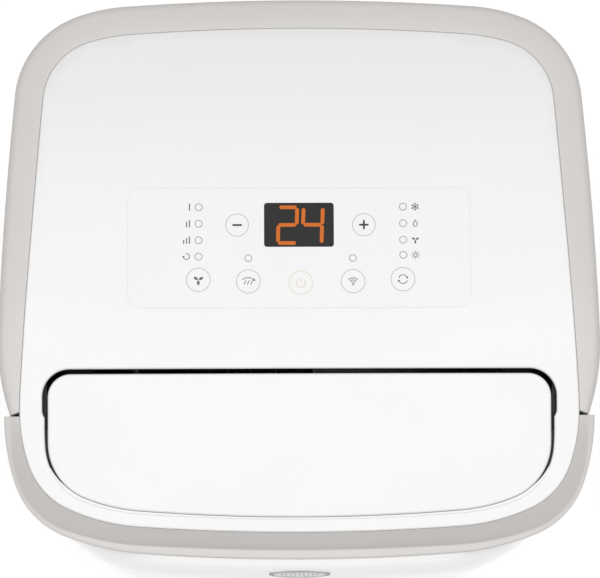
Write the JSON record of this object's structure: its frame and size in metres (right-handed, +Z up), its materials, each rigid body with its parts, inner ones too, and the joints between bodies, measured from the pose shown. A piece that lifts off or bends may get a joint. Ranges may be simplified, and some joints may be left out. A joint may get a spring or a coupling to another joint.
{
  "type": "portable air conditioner",
  "caption": "Floor-standing portable air conditioner on castors with a sloped white roof, warm grey trim, a hinged outlet flap, a touch panel and a rear hose collar.",
  "frame": {"origin": "centre of the bounding box, on the floor under the castor wheels", "axes": "+Z up, front faces -Y, +X to the right as seen from the front"},
  "size_m": [0.42, 0.4107, 0.72],
  "materials": {
    "gloss_white": "high gloss white moulding",
    "satin_white": "fine spark-eroded satin",
    "trim": "satin warm grey",
    "badge": "bright plated, blank",
    "film": "printed film, semi-gloss",
    "smoked_window": "smoked, polished",
    "led_amber": "lit amber segments",
    "circuit_board": "solder-masked board",
    "black_plastic": "matt black",
    "motor_steel": "plated steel can",
    "screw_steel": "zinc plated",
    "fins": "bare fins",
    "fan_grey": "satin grey",
    "inner_grey": "light grey inner moulding",
    "black_paint": "black enamel",
    "rubber": "soft black",
    "wheel_dark": "hard nylon",
    "valve_brass": "machined",
    "copper": "drawn copper tube",
    "filter_net": "woven nylon net"
  },
  "bodies": {
    "cabinet": {"top_cover": "gloss_white", "front_panel": "gloss_white", "left_side_panel": "gloss_white", "right_side_panel": "gloss_white", "rear_lower_panel": "satin_white", "rear_upper_frame": "satin_white", "rear_trim_band": "trim", "front_trim_band": "trim", "base_pan": "trim", "front_badge": "badge", "control_film": "film", "display_window": "smoked_window", "display_module": "led_amber", "control_board": "circuit_board", "outlet_duct": "black_plastic", "flap_motor": "motor_steel", "upper_fan_motor": "motor_steel", "lower_fan_motor": "motor_steel", "panel_screws": "screw_steel", "evaporator_coil": "fins", "condenser_coil": "fins", "exhaust_collar": "fan_grey", "water_pump": "fan_grey", "upper_fan_scroll": "inner_grey", "lower_fan_scroll": "inner_grey", "exhaust_duct": "inner_grey", "condensate_tray": "inner_grey", "mid_partition": "inner_grey", "electrical_box": "inner_grey", "compressor": "black_paint", "accumulator": "black_paint", "compressor_feet": "rubber", "cord_gland": "rubber", "reversing_valve": "valve_brass", "refrigerant_pipes": "copper"},
    "flap": {"air_flap": "gloss_white"},
    "vane_link_bar": {"vane_link": "black_plastic"},
    "upper_fan": {"upper_fan_wheel": "fan_grey"},
    "lower_fan": {"lower_fan_wheel": "fan_grey"},
    "filter_door": {"filter_grille": "satin_white", "filter_mesh": "filter_net"},
    "upper_cap": {"upper_drain_cap": "rubber"},
    "lower_bung": {"lower_drain_bung": "rubber"},
    "vane_1_blade": {"vane_1": "black_plastic"},
    "vane_2_blade": {"vane_2": "black_plastic"},
    "vane_3_blade": {"vane_3": "black_plastic"},
    "vane_4_blade": {"vane_4": "black_plastic"},
    "vane_5_blade": {"vane_5": "black_plastic"},
    "yoke_front_left": {"castor_yoke_front_left": "fan_grey", "castor_axle_front_left": "screw_steel"},
    "wheel_front_left": {"castor_wheel_front_left": "wheel_dark"},
    "yoke_front_right": {"castor_yoke_front_right": "fan_grey", "castor_axle_front_right": "screw_steel"},
    "wheel_front_right": {"castor_wheel_front_right": "wheel_dark"},
    "yoke_rear_left": {"castor_yoke_rear_left": "fan_grey", "castor_axle_rear_left": "screw_steel"},
    "wheel_rear_left": {"castor_wheel_rear_left": "wheel_dark"},
    "yoke_rear_right": {"castor_yoke_rear_right": "fan_grey", "castor_axle_rear_right": "screw_steel"},
    "wheel_rear_right": {"castor_wheel_rear_right": "wheel_dark"}
  },
  "joints": [
    {"name": "flap_hinge", "type": "hinge", "parent": "cabinet", "child": "flap", "pos_m": [0, -0.092, 0.694], "axis": [-1, 0, 0], "range_deg": [0, 55]},
    {"name": "vane_link_slide", "type": "slide", "parent": "cabinet", "child": "vane_link_bar", "axis": [-1, 0, 0], "range_m": [-0.0105, 0.0105]},
    {"name": "upper_fan_spin", "type": "hinge", "parent": "cabinet", "child": "upper_fan", "pos_m": [0, -0.06, 0.515], "axis": [0, 1, 0], "continuous": true},
    {"name": "lower_fan_spin", "type": "hinge", "parent": "cabinet", "child": "lower_fan", "pos_m": [0.09, 0.07, 0.198], "axis": [0, 1, 0], "continuous": true},
    {"name": "filter_hinge", "type": "hinge", "parent": "cabinet", "child": "filter_door", "pos_m": [0, 0.1884, 0.405], "axis": [-1, 0, 0], "range_deg": [0, 80]},
    {"name": "upper_cap_pull", "type": "slide", "parent": "cabinet", "child": "upper_cap", "axis": [0, 1, 0], "range_m": [0, 0.02]},
    {"name": "lower_bung_pull", "type": "slide", "parent": "cabinet", "child": "lower_bung", "axis": [0, 1, 0], "range_m": [0, 0.02]},
    {"name": "vane_1_swing", "type": "hinge", "parent": "cabinet", "child": "vane_1_blade", "pos_m": [-0.12, -0.105, 0.653], "axis": [0, 0, 1], "range_deg": [-35, 35]},
    {"name": "vane_2_swing", "type": "hinge", "parent": "cabinet", "child": "vane_2_blade", "pos_m": [-0.06, -0.105, 0.653], "axis": [0, 0, 1], "range_deg": [-35, 35]},
    {"name": "vane_3_swing", "type": "hinge", "parent": "cabinet", "child": "vane_3_blade", "pos_m": [0, -0.105, 0.653], "axis": [0, 0, 1], "range_deg": [-35, 35]},
    {"name": "vane_4_swing", "type": "hinge", "parent": "cabinet", "child": "vane_4_blade", "pos_m": [0.06, -0.105, 0.653], "axis": [0, 0, 1], "range_deg": [-35, 35]},
    {"name": "vane_5_swing", "type": "hinge", "parent": "cabinet", "child": "vane_5_blade", "pos_m": [0.12, -0.105, 0.653], "axis": [0, 0, 1], "range_deg": [-35, 35]},
    {"name": "swivel_front_left", "type": "hinge", "parent": "cabinet", "child": "yoke_front_left", "pos_m": [-0.152, -0.118, 0.054], "axis": [0, 0, 1], "continuous": true},
    {"name": "spin_front_left", "type": "hinge", "parent": "yoke_front_left", "child": "wheel_front_left", "pos_m": [-0.152, -0.102, 0.024], "axis": [1, 0, 0], "continuous": true},
    {"name": "swivel_front_right", "type": "hinge", "parent": "cabinet", "child": "yoke_front_right", "pos_m": [0.152, -0.118, 0.054], "axis": [0, 0, 1], "continuous": true},
    {"name": "spin_front_right", "type": "hinge", "parent": "yoke_front_right", "child": "wheel_front_right", "pos_m": [0.152, -0.102, 0.024], "axis": [1, 0, 0], "continuous": true},
    {"name": "swivel_rear_left", "type": "hinge", "parent": "cabinet", "child": "yoke_rear_left", "pos_m": [-0.152, 0.138, 0.054], "axis": [0, 0, 1], "continuous": true},
    {"name": "spin_rear_left", "type": "hinge", "parent": "yoke_rear_left", "child": "wheel_rear_left", "pos_m": [-0.152, 0.154, 0.024], "axis": [1, 0, 0], "continuous": true},
    {"name": "swivel_rear_right", "type": "hinge", "parent": "cabinet", "child": "yoke_rear_right", "pos_m": [0.152, 0.138, 0.054], "axis": [0, 0, 1], "continuous": true},
    {"name": "spin_rear_right", "type": "hinge", "parent": "yoke_rear_right", "child": "wheel_rear_right", "pos_m": [0.152, 0.154, 0.024], "axis": [1, 0, 0], "continuous": true}
  ],
  "couplings": [
    {"joint": "vane_1_swing", "follows": "vane_link_slide", "rad_per_m": 58.14},
    {"joint": "vane_2_swing", "follows": "vane_link_slide", "rad_per_m": 58.14},
    {"joint": "vane_3_swing", "follows": "vane_link_slide", "rad_per_m": 58.14},
    {"joint": "vane_4_swing", "follows": "vane_link_slide", "rad_per_m": 58.14},
    {"joint": "vane_5_swing", "follows": "vane_link_slide", "rad_per_m": 58.14}
  ]
}
